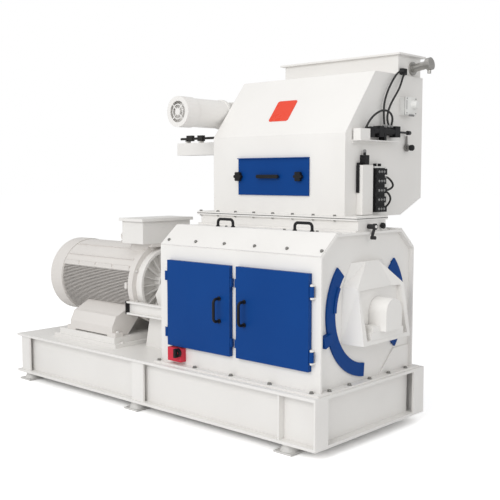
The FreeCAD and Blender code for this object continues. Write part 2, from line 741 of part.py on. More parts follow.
def bearing_bracket():
    """Faceted bracket on the right end wall that carries the outboard bearing."""
    wall = CASING_X1
    low = BRACKET_LOW_Z
    points = {
        "wall_low_front": (wall, -250, low), "wall_low_rear": (wall, 250, low),
        "wall_mid_front": (wall, -246, 945), "wall_mid_rear": (wall, 246, 945),
        "wall_top_front": (wall, -163, 1085), "wall_top_rear": (wall, 163, 1085),
        "edge_low_front": (BRACKET_X1, -245, low + 2), "edge_low_rear": (BRACKET_X1, 245, low + 2),
        "edge_mid_front": (1512, -214, 948), "edge_mid_rear": (1530, 245, 938),
        "edge_top_front": (1462, -62, 1090), "edge_top_rear": (1462, 62, 1090),
        "inner_rear": (1500, 140, 950),
    }
    loops = []
    for side in ("front", "rear"):
        for names in (("wall_low", "edge_low", "edge_mid"), ("wall_low", "edge_mid", "wall_mid"),
                      ("wall_mid", "edge_mid", "edge_top"), ("wall_mid", "edge_top", "wall_top")):
            loops.append([name + "_" + side for name in names])
    for a, b in (("wall_low", "edge_low"), ("edge_top", "wall_top")):
        loops.append([a + "_front", b + "_front", b + "_rear", a + "_rear"])
    loops += [
        ["edge_low_front", "edge_low_rear", "inner_rear"],
        ["edge_low_front", "inner_rear", "edge_mid_front"],
        ["edge_low_rear", "edge_mid_rear", "inner_rear"],
        ["edge_mid_front", "inner_rear", "edge_top_front"],
        ["edge_top_front", "inner_rear", "edge_top_rear"],
        ["edge_top_rear", "inner_rear", "edge_mid_rear"],
        ["wall_low_front", "wall_mid_front", "wall_top_front", "wall_top_rear", "wall_mid_rear",
         "wall_low_rear"],
    ]
    block = faceted(points, loops)
    web_x0, web_x1 = BRACKET_WEB_X
    pocket = box(web_x1, BRACKET_X1 + 30, -202, 218, BRACKET_SHELF_Z, 930)
    cavity = box(wall - 1, web_x0, -160, 160, BRACKET_SHELF_Z, 900)
    cutters = [pocket, cavity, rod_x(wall - 5, web_x1 + 5, 0, SHAFT_Z, SHAFT_R + 6)]
    sole_plate = box(web_x0 + 2, 1576, -170, 170, BRACKET_SHELF_Z - 2, OUTBOARD_SEAT_Z)
    return joined([without(block, cutters), sole_plate])


def drive_pedestal():
    """Welded pedestal between the motor and the mill, under the drive-side bearing."""
    outline = [(-352, BASE_TOP - 2), (96, BASE_TOP - 2), (96, DRIVE_SEAT_Z), (-292, DRIVE_SEAT_Z)]
    hollow = [(-338, BASE_TOP - 3), (82, BASE_TOP - 3), (82, DRIVE_SEAT_Z - 14),
              (-281, DRIVE_SEAT_Z - 14)]
    window = box(-260, -60, -60, 60, DRIVE_SEAT_Z - 30, DRIVE_SEAT_Z + 1)
    return without(along_y(outline, -215, 215), [along_y(hollow, -203, 203), window])


def coupling_guard():
    """Sheet hood over the coupling, with a sloping face towards the motor and side rails."""
    outline = [(-205, 642), (-246, 745), (-122, 925), (96, 925), (96, 642)]
    inner = [(-195, 641), (-242, 745), (-120, 921), (92, 921), (92, 641)]
    hood = along_y(outline, -212, 212).cut(along_y(inner, -208, 208))
    opening = rod_x(-300, -120, 0, SHAFT_Z, COUPLING_HUB_R + 6)
    shaft_hole = rod_x(88, 100, 0, SHAFT_Z, SHAFT_R + 6)
    return joined([without(hood, [opening, shaft_hole])] + guard_rails())


def guard_rails():
    """Channel rails in front of and behind the guard, each held by two struts."""
    pieces = []
    for side in (-1, 1):
        y0, y1 = sorted((side * RAIL_Y[0], side * RAIL_Y[1]))
        channel = box(RAIL_X0, CASING_X0, y0, y1, RAIL_Z[0], RAIL_Z[1])
        slot_y = (y0 - 1, y1 - 6) if side < 0 else (y0 + 6, y1 + 1)
        slot = box(RAIL_X0 - 1, CASING_X0 + 1, slot_y[0], slot_y[1], RAIL_Z[0] + 12, RAIL_Z[1] - 12)
        pieces.append(channel.cut(slot))
        strut_y = sorted((side * 209, side * (RAIL_Y[0] + 4)))
        for x in (-170, 40):
            pieces.append(box(x, x + 20, strut_y[0], strut_y[1], 650, 674))
    return pieces


# ------------------------------------------------------------------ coupling
def coupling_half(flange_x, hub_x, bore):
    """Round coupling flange with its hub."""
    body = joined([
        rod_x(flange_x[0], flange_x[1], 0, SHAFT_Z, COUPLING_FLANGE_R),
        rod_x(hub_x[0], hub_x[1], 0, SHAFT_Z, COUPLING_HUB_R),
    ])
    return body.cut(rod_x(-400, 100, 0, SHAFT_Z, bore + 0.02))


def coupling_element():
    """Rubber ring between the coupling flanges, bonded to the mill half."""
    x0, x1 = COUPLING_ELEMENT_X
    return tube_x(x0, x1, 0, SHAFT_Z, COUPLING_FLANGE_R - 6, 52)


# ------------------------------------------------------------------ motor
def fin_rows():
    return [FIN_FIRST_Z + FIN_PITCH * i for i in range(FIN_COUNT)]


def motor_feet():
    """Cast foot block under the motor, with a tunnel through it and four bolt pads."""
    half = [(405, MOTOR_FOOT_Z), (405, 500), (368, 575), (340, 585), (236, 640)]
    outline = [(-y, z) for y, z in half] + half[::-1]
    tunnel = along_x([(-262, MOTOR_FOOT_Z - 1), (-150, 560), (150, 560), (262, MOTOR_FOOT_Z - 1)],
                     -1010, -495)
    waist = box(-945, -560, -420, 420, MOTOR_FOOT_Z - 1, MOTOR_FOOT_Z + 10)
    pads = []
    for x0, x1 in ((-1046, -1003), (-502, -464)):
        for y0, y1 in ((-405, -335), (335, 405)):
            pads.append(box(x0, x1, y0, y1, MOTOR_FOOT_Z, MOTOR_FOOT_Z + 30))
    return [without(along_x(outline, -1005, -500), [tunnel, waist])] + pads


def motor_crown():
    """Ribs and stepped ledges on the smoother upper part of the motor frame."""
    x0, x1 = MOTOR_BODY_X
    pieces = []
    for degrees in (40, 62, 118, 140):
        rib = box(x0 + 30, x1 - 30, MOTOR_R - 8, MOTOR_R + 9, SHAFT_Z - 4, SHAFT_Z + 4)
        pieces.append(turned_about_shaft(rib, degrees))
    band_high = fin_rows()[-1] + 6
    for i in range(4):
        ledge_x = x0 + 28 + 202 * i
        for y0, y1 in ((-264, -196), (196, 264)):
            pieces.append(box(ledge_x, ledge_x + 178, y0, y1, band_high - 2, band_high + 34))
    return pieces


def motor_frame():
    """Finned motor frame with side fins, a smoother crown, cast feet and the drive-end ring."""
    x0, x1 = MOTOR_BODY_X
    full = rod_x(x0, x1, 0, SHAFT_Z, MOTOR_R)
    band_low = fin_rows()[0] - 6
    band_high = fin_rows()[-1] + 6
    side_pockets = []
    core = rod_x(x0 - 1, x1 + 1, 0, SHAFT_Z, MOTOR_CORE_R)
    for y0, y1 in ((-MOTOR_R - 5, 0), (0, MOTOR_R + 5)):
        side_pockets.append(box(x0 + 20, x1 - 12, y0, y1, band_low, band_high).cut(core))
    body = without(full, side_pockets)
    fins = []
    for z in fin_rows():
        reach = math.sqrt(MOTOR_R ** 2 - (z - SHAFT_Z) ** 2)
        fins.append(box(x0 + 18, x1 - 10, -reach, reach, z - 1.5, z + 1.5))
    ring = rod_x(MOTOR_RING_X[0], MOTOR_RING_X[1], 0, SHAFT_Z, MOTOR_RING_R)
    lug = box(-478, -452, -306, -276, 776, 820)
    top_pads = [
        box(TERMINAL_X[0], MOTOR_RING_X[1], -150, 150, SHAFT_Z + 230, TERMINAL_Z0),
        box(MOTOR_RING_X[1] - 2, TERMINAL_X[1], -150, 150, SHAFT_Z + SHIELD_R + 12, TERMINAL_Z0),
    ]
    eye = lifting_eye(-850, 0, SHAFT_Z + MOTOR_R - 3)
    body = joined([body, ring, lug, eye] + motor_feet() + fins + motor_crown() + top_pads)
    return body.cut(rod_x(x0 - 1, x1 + 60, 0, SHAFT_Z, 236))


def motor_end_shield():
    """Drive-end shield: a deep rim with recessed radial ribs round the shaft boss."""
    x0 = MOTOR_RING_X[1]
    rim = tube_x(x0, SHIELD_X1, 0, SHAFT_Z, SHIELD_R, SHIELD_R - 20)
    plate = rod_x(x0, x0 + 14, 0, SHAFT_Z, SHIELD_R - 10)
    boss = Part.makeCone(112, 88, SHIELD_X1 - x0 - 6, V(x0, 0, SHAFT_Z), V(1, 0, 0))
    ribs = []
    for i in range(20):
        rib = along_y([(x0 + 10, SHAFT_Z + 86), (SHIELD_X1 - 12, SHAFT_Z + 86),
                       (SHIELD_X1 - 16, SHAFT_Z + SHIELD_R - 15), (x0 + 10, SHAFT_Z + SHIELD_R - 15)],
                      -4, 4)
        ribs.append(turned_about_shaft(rib, 18 * i))
    body = joined([plate, rim, boss] + ribs)
    return body.cut(rod_x(x0 - 1, SHIELD_X1 + 1, 0, SHAFT_Z, 50))


def motor_rear_shield():
    """Plain fan-end shield."""
    x = MOTOR_BODY_X[0]
    plate = rod_x(x - 22, x, 0, SHAFT_Z, 262)
    return plate.cut(rod_x(x - 30, x + 1, 0, SHAFT_Z, 50))


def motor_fan_cowl():
    """Dished steel cowl over the cooling fan, with a round grille of slots."""
    x0 = MOTOR_COWL_X0
    x1 = MOTOR_BODY_X[0]
    outer = rod_x(x0 + 40, x1 + 14, 0, SHAFT_Z, 290)
    dome = Part.makeCone(235, 290, 40, V(x0, 0, SHAFT_Z), V(1, 0, 0))
    inner = rod_x(x0 + 42, x1 + 15, 0, SHAFT_Z, 286)
    inner_dome = Part.makeCone(232, 286, 38, V(x0 + 4, 0, SHAFT_Z), V(1, 0, 0))
    shell = without(joined([outer, dome]), [inner, inner_dome])
    slots = []
    for ring_r in (70, 110, 150, 190):
        for k in range(8):
            start = 45 * k + 5
            slots.append(arc_plate(x0 - 5, x0 + 20, ring_r, ring_r + 22, start, start + 35))
    return without(shell, slots)


def motor_fan():
    """Cooling fan: hub, back plate and straight blades."""
    x = MOTOR_COWL_X0 + 52
    pieces = [rod_x(x, x + 70, 0, SHAFT_Z, 62), rod_x(x + 60, x + 66, 0, SHAFT_Z, 225)]
    for i in range(9):
        blade = box(x + 4, x + 62, 55, 222, SHAFT_Z - 3, SHAFT_Z + 3)
        pieces.append(turned_about_shaft(blade, 40 * i))
    return joined(pieces).cut(rod_x(x - 1, x + 80, 0, SHAFT_Z, 45.02))


def motor_rotor():
    """Motor shaft with its rotor core, and the coupling half keyed to its end."""
    x0 = MOTOR_COWL_X0 + 48
    shaft = joined([
        rod_x(x0, COUPLING_MOTOR_X[1] - 4, 0, SHAFT_Z, 45),
        rod_x(-1150, -560, 0, SHAFT_Z, 62),
        rod_x(-1090, -640, 0, SHAFT_Z, 130),
    ])
    half = coupling_half(COUPLING_MOTOR_X, (-200, -130), 45)
    return group([shaft, half])


def motor_stator():
    """Wound stator pressed into the motor frame."""
    return tube_x(-1130, -600, 0, SHAFT_Z, 235.95, 133)


def terminal_box():
    """Cable box on the motor, with an overhanging lid."""
    x0, x1 = TERMINAL_X
    y = TERMINAL_Y
    z0 = TERMINAL_Z0
    z1 = TERMINAL_Z1
    body = box(x0, x1, -y, y, z0, z1)
    inside = box(x0 + 6, x1 - 6, -y + 6, y - 6, z0 + 8, z1 + 1)
    cable_hole = rod_z((x0 + x1) / 2, 0, z0 - 5, z0 + 15, 40)
    glands = []
    for gland_y in (-120, 0, 120):
        glands.append(rod_x(x0 - 50, x0 + 2, gland_y, z0 + 60, 24))
        glands.append(rod_x(x0 - 32, x0 - 12, gland_y, z0 + 60, 31))
    save("terminal_box", joined([without(body, [inside, cable_hole])] + glands))
    rim = box(x0 - 15, x1 + 16, -y - 18, y + 18, z1, z1 + 22)
    rim = rim.cut(box(x0 - 9, x1 + 10, -y - 12, y + 12, z1 - 1, z1 + 10))
    save("terminal_box_lid", joined([rim, box(x0, x1, -y, y, z1, z1 + 12)]))


def motor_bolts():
    """Bolts of the motor feet, of the bed plate and of the drive-end shield."""
    heads = []
    for x in (-1027, -482):
        for y in (-370, 370):
            heads.append(bolt_head((x, y, MOTOR_FOOT_Z + 30), (0, 0, 1), 13))
    for x in (-1155, -446):
        for y in (-360, 0, 360):
            heads.append(bolt_head((x, y, BASE_TOP + 26), (0, 0, 1), 12))
    for i in range(8):
        angle = math.radians(45 * i + 22.5)
        radius = (MOTOR_RING_R + SHIELD_R) / 2
        heads.append(bolt_head((MOTOR_RING_X[1], radius * math.cos(angle),
                                SHAFT_Z + radius * math.sin(angle)), (1, 0, 0), 9))
    return group(heads)


def lifting_eye(x, y, z):
    """Eye bolt standing on a collar, with its ring in the X-Z plane."""
    collar = rod_z(x, y, z, z + 14, 24)
    stem = rod_z(x, y, z, z + 24, 13)
    ring = Part.makeTorus(26, 9, V(x, y, z + 46), V(0, 1, 0))
    return joined([collar, stem, ring])


# ------------------------------------------------------------------ neck and feeder
def neck_chute():
    """Open box between the mill and the feeder, with a flange at each end."""
    x0, x1 = NECK_X
    y0, y1 = NECK_Y
    z0 = CASING_TOP
    z1 = FEEDER_BOTTOM
    wall = box(x0, x1, y0, y1, z0, z1)
    low_flange = box(x0 - 10, x1, y0 - 22, y1 + 22, z0, z0 + 10)
    top_flange = box(x0 - 24, x1 + 2, y0 - 16, y1 + 22, z1 - 12, z1)
    inside = box(x0 + 60, x1 - 60, y0 + 30, y1 - 30, z0 - 1, z1 + 1)
    studs = [rod_x(x1 - 4, x1 + 60, LEVER_Y, LEVER_Z, 9), rod_x(x1 - 4, x1 + 20, 150, 1290, 8)]
    return joined([wall, low_flange, top_flange] + studs).cut(inside)


def feeder_outline(inset):
    """Outline of the feeder casing seen along the shaft, shrunk by a wall thickness."""
    front = FEEDER_FRONT_Y + inset
    rear = FEEDER_REAR_Y - inset
    low = FEEDER_BOTTOM + inset
    top = FEEDER_TOP - inset
    return [(front, low), (front, FEEDER_KNEE_Z - inset * 0.35), (FEEDER_TOP_Y + inset * 0.47, top),
            (rear, top), (rear, 1444 + inset * 0.5), (594 - inset * 0.2, low)]


def feeder_casing():
    """Welded feeder casing, with a flanged foot and openings for grain, hatch and shafts."""
    shell = along_x(feeder_outline(0), FEEDER_X0, FEEDER_X1)
    inside = along_x(feeder_outline(FEEDER_WALL), FEEDER_X0 + FEEDER_WALL,
                     FEEDER_X1 - FEEDER_WALL)
    flange = box(NECK_X[0] - 24, NECK_X[1] + 2, NECK_Y[0] - 16, NECK_Y[1] + 22, FEEDER_BOTTOM,
                 FEEDER_BOTTOM + 12)
    roll_boss = rod_x(FEEDER_X1 - FEEDER_WALL - 29, FEEDER_X1 - 2, ROLL_Y, ROLL_Z, 38)
    body = joined([shell.cut(inside), flange, feed_chute(), roll_boss] + hatch_studs())
    cutters = [
        box(190, 1248, -8, 176, FEEDER_BOTTOM - 5, FEEDER_BOTTOM + 30),
        box(COLLAR_X[0] + 12, COLLAR_X[1] - 12, COLLAR_Y[0] + 12, COLLAR_Y[1] - 12,
            FEEDER_TOP - 30, FEEDER_TOP + 5),
        box(448, 890, FEEDER_FRONT_Y - 5, FEEDER_FRONT_Y + 20, HATCH_Z[0] + 24, HATCH_Z[1] - 24),
        rod_x(FEEDER_X0 - 5, FEEDER_X1 - 13, ROLL_Y, ROLL_Z, ROLL_SHAFT_R + RUNNING_FIT),
        rod_x(FEEDER_X0 - 5, FEEDER_X1 + 5, FLAP_Y, FLAP_Z, FLAP_SHAFT_R + RUNNING_FIT),
    ]
    return without(body, cutters)


def inlet_collar():
    """Upright collar on top of the feeder, with the inlet flange and its bolt holes."""
    x0, x1 = COLLAR_X
    y0, y1 = COLLAR_Y
    body = joined([
        box(x0, x1, y0, y1, FEEDER_TOP, COLLAR_TOP),
        box(x0 - 26, x1 + 26, y0 - 26, y1 + 26, COLLAR_TOP, COLLAR_TOP + 12),
    ])
    cutters = [box(x0 + 12, x1 - 12, y0 + 12, y1 - 12, FEEDER_TOP - 1, COLLAR_TOP + 13)]
    for x, y in inlet_holes():
        cutters.append(rod_z(x, y, COLLAR_TOP - 1, COLLAR_TOP + 13, 6.5))
    return without(body, cutters)


def inlet_holes():
    """Bolt holes along the front and the rear of the inlet flange."""
    middle = (COLLAR_X[0] + COLLAR_X[1]) / 2
    holes = []
    for i in range(6):
        for y in (COLLAR_Y[0] - 13, COLLAR_Y[1] + 13):
            holes.append((middle + 170 * (i - 2.5), y))
    return holes


def feeder_flange_bolts():
    heads = []
    for i in range(8):
        x = 98 + 164 * i
        heads.append(bolt_head((x, NECK_Y[0] - 5, FEEDER_BOTTOM + 12), (0, 0, 1), 11))
        heads.append(bolt_head((x, NECK_Y[0] - 9, FEEDER_BOTTOM - 12), (0, 0, -1), 7))
    return heads


def feed_chute():
    """Sloping plate inside the feeder that leads grain from the collar to the roll."""
    plate = [(FEEDER_REAR_Y - FEEDER_WALL + 1, 2196), (FEEDER_REAR_Y - FEEDER_WALL + 1, 2184),
             (400, 1948), (396, 1957)]
    return along_x(plate, FEEDER_X0 + FEEDER_WALL - 1, FEEDER_X1 - FEEDER_WALL + 1)


def magnet_bank():
    """Row of plate magnets inside the front wall, behind the hatch, on one carrier strip."""
    pieces = [box(440, 900, 60, 72, 1500, 1680)]
    for i in range(4):
        pieces.append(box(452 + 112 * i, 552 + 112 * i, 70, 104, 1512, 1668))
    for x in (440, 884):
        pieces.append(box(x, x + 16, FEEDER_FRONT_Y + FEEDER_WALL, 62, 1560, 1600))
    return joined(pieces)


def feed_roll():
    """Fluted feed roll with its shaft, which doses grain along the whole width."""
    x0 = FEEDER_X0 + FEEDER_WALL + 8
    x1 = FEEDER_X1 - FEEDER_WALL - 34
    body = rod_x(x0, x1, ROLL_Y, ROLL_Z, ROLL_R)
    flutes = []
    for i in range(8):
        angle = math.radians(45 * i)
        flutes.append(rod_x(x0 - 1, x1 + 1, ROLL_Y + 100 * math.cos(angle),
                            ROLL_Z + 100 * math.sin(angle), 26))
    body = without(body, flutes)
    return joined([body, rod_x(FEEDER_X0 - 60, FEEDER_X1 - 15, ROLL_Y, ROLL_Z, ROLL_SHAFT_R)])


def gearmotor():
    """Feed drive on the left end wall: right-angle gearbox, and smooth motor with fan cover."""
    wall = FEEDER_X0
    x = GEARMOTOR_X
    z = GEARMOTOR_Z
    gearbox = box(-20, wall - 10, 215, 400, 1960, 2112)
    long_edges = [edge for edge in gearbox.Edges if abs(edge.tangentAt(0).y) > 0.9]
    gearbox = gearbox.makeFillet(22, long_edges)
    body = [
        gearbox,
        rod_x(wall - 16, wall, ROLL_Y, ROLL_Z, 76),
        rod_y(x, 160, 217, z, 60),
        rod_y(x, 140, 165, z, FEED_MOTOR_R + 6),
        rod_y(x, -215, 145, z, FEED_MOTOR_R),
    ]
    shaft_bore = rod_x(wall - 64, wall + 1, ROLL_Y, ROLL_Z, ROLL_SHAFT_R + RUNNING_FIT)
    return joined(body + [fan_cover(x, z)]).cut(shaft_bore)


def fan_cover(x, z):
    """Round fan cover on the feed motor, with a guard of rings and spokes in its opening."""
    front = -262
    cover = rod_y(x, front, -150, z, 104)
    hollow = rod_y(x, front + 6, -149, z, FEED_MOTOR_R)
    opening = rod_y(x, front - 1, front + 7, z, 72)
    cover = without(cover, [hollow, opening])
    guard = [rod_y(x, front, front + 6, z, 24)]
    ring = rod_y(x, front, front + 6, z, 52)
    guard.append(ring.cut(rod_y(x, front - 1, front + 7, z, 46)))
    for i in range(4):
        spoke = box(x + 20, x + 76, front, front + 6, z - 3, z + 3)
        spoke.rotate(V(x, 0, z), V(0, 1, 0), 90 * i + 45)
        guard.append(spoke)
    return joined([cover] + guard)


def side_tray():
    """Tray under the feed drive, with a small valve rail on top of it."""
    tray = box(-440, FEEDER_X0, 190, 330, 1745, 1835)
    tray = tray.cut(box(-434, FEEDER_X0 - 10, 196, 324, 1751, 1836))
    rail = [
        rod_x(-430, 150, 222, 1868, 9),
        box(-360, -300, 208, 236, 1850, 1892),
        box(-240, -190, 206, 238, 1848, 1890),
        box(-352, -340, 190, 236, 1830, 1856),
        box(-212, -200, 190, 236, 1830, 1856),
    ]
    return joined([tray] + rail)


# ------------------------------------------------------------------ hatch
def inspection_hatch():
    """Hatch plate with a round hole at the right knob and an open notch at the left knob."""
    x0, x1 = HATCH_X
    y0 = FEEDER_FRONT_Y - 10
    plate = box(x0, x1, y0, FEEDER_FRONT_Y - 2, HATCH_Z[0], HATCH_Z[1])
    fold = box(x0, x1, y0 - 12, y0 + 2, HATCH_Z[1] - 6, HATCH_Z[1])
    body = joined([plate, fold])
    stud_x, pivot_x = HATCH_KNOB_X
    cutters = [
        rod_y(pivot_x, y0 - 20, FEEDER_FRONT_Y, HATCH_KNOB_Z, 8 + RUNNING_FIT),
        box(x0 - 1, stud_x, y0 - 20, FEEDER_FRONT_Y, HATCH_KNOB_Z - 12, HATCH_KNOB_Z + 12),
        rod_y(stud_x, y0 - 20, FEEDER_FRONT_Y, HATCH_KNOB_Z, 12),
    ]
    return without(body, cutters)


def star_knob(x):
    """Star knob on a stud, standing in front of the hatch."""
    y1 = FEEDER_FRONT_Y - 10.5
    hub = rod_y(x, y1 - 26, y1, HATCH_KNOB_Z, 24)
    lobes = []
    for i in range(6):
        angle = math.radians(60 * i)
        lobes.append(rod_y(x + 23 * math.cos(angle), y1 - 26, y1 - 6,
                           HATCH_KNOB_Z + 23 * math.sin(angle), 10))
    body = joined([hub] + lobes)
    return body.cut(rod_y(x, y1 - 14, y1 + 1, HATCH_KNOB_Z, 8 + RUNNING_FIT))


def hatch_studs():
    """Studs welded to the feeder wall, which carry the two star knobs."""
    studs = []
    for x in HATCH_KNOB_X:
        studs.append(rod_y(x, FEEDER_FRONT_Y - 22, FEEDER_FRONT_Y + 2, HATCH_KNOB_Z, 8))
    return studs


def hatch_grip():
    """Low black bar handle on the hatch."""
    y1 = FEEDER_FRONT_Y - 10
    bar = joined([
        box(594, 758, y1 - 26, y1 - 12, HATCH_KNOB_Z - 12, HATCH_KNOB_Z + 12),
        rod_y(594, y1 - 26, y1 - 12, HATCH_KNOB_Z, 12),
        rod_y(758, y1 - 26, y1 - 12, HATCH_KNOB_Z, 12),
        box(600, 618, y1 - 14, y1, HATCH_KNOB_Z - 9, HATCH_KNOB_Z + 9),
        box(734, 752, y1 - 14, y1, HATCH_KNOB_Z - 9, HATCH_KNOB_Z + 9),
    ])
    return bar


def badge_plate():
    """Plain plate with rounded corners on the slanted front of the feeder."""
    rise = V(0, FEEDER_TOP_Y - FEEDER_FRONT_Y, FEEDER_TOP - FEEDER_KNEE_Z).normalize()
    plate = box(-82, 82, -88, 88, 0, 3)
    corners = [edge for edge in plate.Edges if abs(edge.tangentAt(0).z) > 0.9]
    plate = plate.makeFillet(16, corners)
    normal = V(0, -rise.z, rise.y)
    centre = V(676, 105, FEEDER_KNEE_Z + (105 - FEEDER_FRONT_Y) * rise.z / rise.y)
    plate.Placement = FreeCAD.Placement(centre, FreeCAD.Rotation(V(1, 0, 0), rise, normal, "ZXY"))
    return plate


# ------------------------------------------------------------------ feeder controls
def air_cylinder():
    """Air cylinder on a shelf on the right end wall, and the rod that it pushes."""
    wall = FEEDER_X1
    shelf = joined([
        box(wall, wall + 70, 40, 470, 1804, 1810),
        box(wall, wall + 6, 40, 470, 1788, 1810),
        box(wall + 8, wall + 62, 44, 146, 1809, 1878),
    ])
    body = [
        box(wall + 14, wall + 58, 159, 200, 1828, 1892),
        rod_y(wall + 36, 195, 450, CYLINDER_Z, 24),
        box(wall + 12, wall + 60, 250, 300, 1832, 1900),
        box(wall + 14, wall + 58, 308, 330, 1810, 1888),
        box(wall + 12, wall + 60, 430, 486, 1836, 1905),
    ]
    for x, y in hose_fittings():
        body.append(rod_z(x, y, CYLINDER_Z + 8, FITTING_TOP, 8))
    bore = rod_y(wall + 36, 330, 520, CYLINDER_Z, CYLINDER_ROD_R + RUNNING_FIT)
    save("air_cylinder", joined(body).cut(bore))
    rod_body = joined([
        rod_y(wall + 36, 440, 620, CYLINDER_Z, CYLINDER_ROD_R),
        rod_y(wall + 36, 606, 634, CYLINDER_Z, 14),
    ])
    save("cylinder_rod", rod_body)
    return shelf


def hose_fittings():
    """Places of the three hose fittings on top of the cylinder."""
    return [(FEEDER_X1 + 31, 345), (FEEDER_X1 + 42, 375), (FEEDER_X1 + 39, 412)]


def trap_flap():
    """Flap plate on its shaft inside the feeder, with a crank outside the right end wall."""
    x0 = FEEDER_X0 + FEEDER_WALL + 8
    x1 = FEEDER_X1 - FEEDER_WALL - 8
    wall = FEEDER_X1
    shaft = rod_x(FEEDER_X0 - 20, wall + 34, FLAP_Y, FLAP_Z, FLAP_SHAFT_R)
    plate = along_x([(FLAP_Y, FLAP_Z + 5), (FLAP_Y, FLAP_Z - 5), (FLAP_Y - 210, FLAP_Z - 95),
                     (FLAP_Y - 214, FLAP_Z - 86)], x0, x1)
    crank = [
        rod_x(wall + 8, wall + 18, FLAP_Y, FLAP_Z, 24),
        along_x([(FLAP_Y - 9, FLAP_Z), (FLAP_Y + 9, FLAP_Z), (FLAP_Y + 6, FLAP_Z + 78),
                 (FLAP_Y - 6, FLAP_Z + 78)], wall + 8, wall + 14),
    ]
    return joined([shaft, plate] + crank)


def valve_island():
    """Stack of air valves, and the head of the level switch above them."""
    wall = FEEDER_X1
    blocks = [box(wall, wall + 50, 226, 330, 1380, 1640)]
    for i in range(5):
        z = 1366 + 58 * i
        blocks.append(box(wall + 6, wall + 62, 222, 338 - 10 * (i % 2), z, z + 38))
    for y in (252, 302):
        blocks.append(rod_z(wall + 26, y, 1630, 1668, 11))
    switch = joined([
        box(wall, wall + 44, 127, 165, 1660, 1718),
        rod_z(wall + 22, 146, 1716, 1734, 9),
    ])
    return group([joined(blocks), switch])


def air_hoses():
    """Bent air hoses between the cylinder, the collar and the valves."""
    x = FEEDER_X1 + 36
    start = FITTING_TOP + 5
    left, right, arch = hose_fittings()
    hoses = [
        [(x + 14, 118, 1884), (x + 26, 142, 1930), (x + 32, 214, 1978), (x + 32, 298, 1996),
         (x + 28, 372, 1974), (arch[0], arch[1], start)],
        [(left[0], left[1], start), (x - 9, 343, 1978), (x - 9, 346, 2035), (x - 9, 373, 2104),
         (x - 10, 433, 2185), (x - 18, 512, 2248), (x - 26, 588, 2270)],
        [(right[0], right[1], start), (x + 8, 358, 1962), (x + 8, 374, 2010), (x + 8, 427, 2079),
         (x + 4, 505, 2162), (x - 14, 570, 2232), (x - 26, 606, 2250)],
        [(x + 8, 347, 1579), (x + 8, 409, 1560), (x + 8, 432, 1530), (x + 8, 398, 1508),
         (x + 8, 347, 1504)],
        [(x - 9, 347, 1485), (x - 9, 411, 1476), (x - 9, 431, 1447), (x - 9, 409, 1413),
         (x - 9, 350, 1395)],
    ]
    return group([swept_tube(points, HOSE_R) for points in hoses])


def junction_box():
    """Square cable box with a round lamp cap."""
    wall = FEEDER_X1
    cap = Part.makeCone(30, 22, 34, V(wall + 51, 650, 2052), V(1, 0, 0))
    return joined([box(wall, wall + 52, 560, 690, 1985, 2100), cap])


def level_sensor():
    """Steel probe body on the right wall of the inlet collar, tilted up, with a cable gland."""
    tilt = math.radians(SENSOR_TILT)
    axis = (math.cos(tilt), 0, math.sin(tilt))
    x0 = COLLAR_X[1]
    y = SENSOR_Y
    z = SENSOR_Z
    reach = 112
    flange = rod_x(x0, x0 + 12, y, z, 43)
    tube = rod(x0 + 6, y, z, 26, reach + 4, axis)
    cap_x = x0 + 6 + reach * axis[0]
    cap = rod(cap_x, y, z + reach * axis[2], 41, 30, axis)
    gland = rod_z(cap_x + 14, y, 2256, 2300, 12)
    return joined([flange, tube, cap, gland])


def isolator():
    """Red switch box on the casing front, with a turning black switch."""
    y1 = -CASING_Y
    x = ISOLATOR_KNOB_X
    z = ISOLATOR_KNOB_Z
    body = box(ISOLATOR_X[0], ISOLATOR_X[1], y1 - 44, y1, ISOLATOR_Z[0], ISOLATOR_Z[1])
    stem = rod_y(x, y1 - 62, y1 - 43, z, 12)
    save("isolator_box", joined([body, stem]))
    dial = rod_y(x, y1 - 62, y1 - 46, z, 29)
    grip = box(x - 9, x + 9, y1 - 84, y1 - 60, z - 29, z + 29)
    knob = joined([dial, grip])
    save("isolator_knob", knob.cut(rod_y(x, y1 - 63, y1 - 40, z, 12 + RUNNING_FIT)))


def neck_lever():
    """Hand lever on the right end of the neck, with a round grip."""
    x = NECK_X[1]
    y = LEVER_Y
    z = LEVER_Z
    lever = joined([
        rod_x(x + 2, x + 42, y, z, 15),
        rod_x(x + 40, x + 56, y, z, 19),
        along_x([(y - 9, z), (y + 9, z), (y - 21, z - 68), (y - 35, z - 64)], x + 42, x + 52),
        rod_x(x + 42, x + 72, y - 28, z - 64, 11),
    ])
    return lever.cut(rod_x(x - 1, x + 62, y, z, 9 + RUNNING_FIT))


# ------------------------------------------------------------------ output
def save(name, shape):
    shape.exportStep("parts/" + name + ".step")


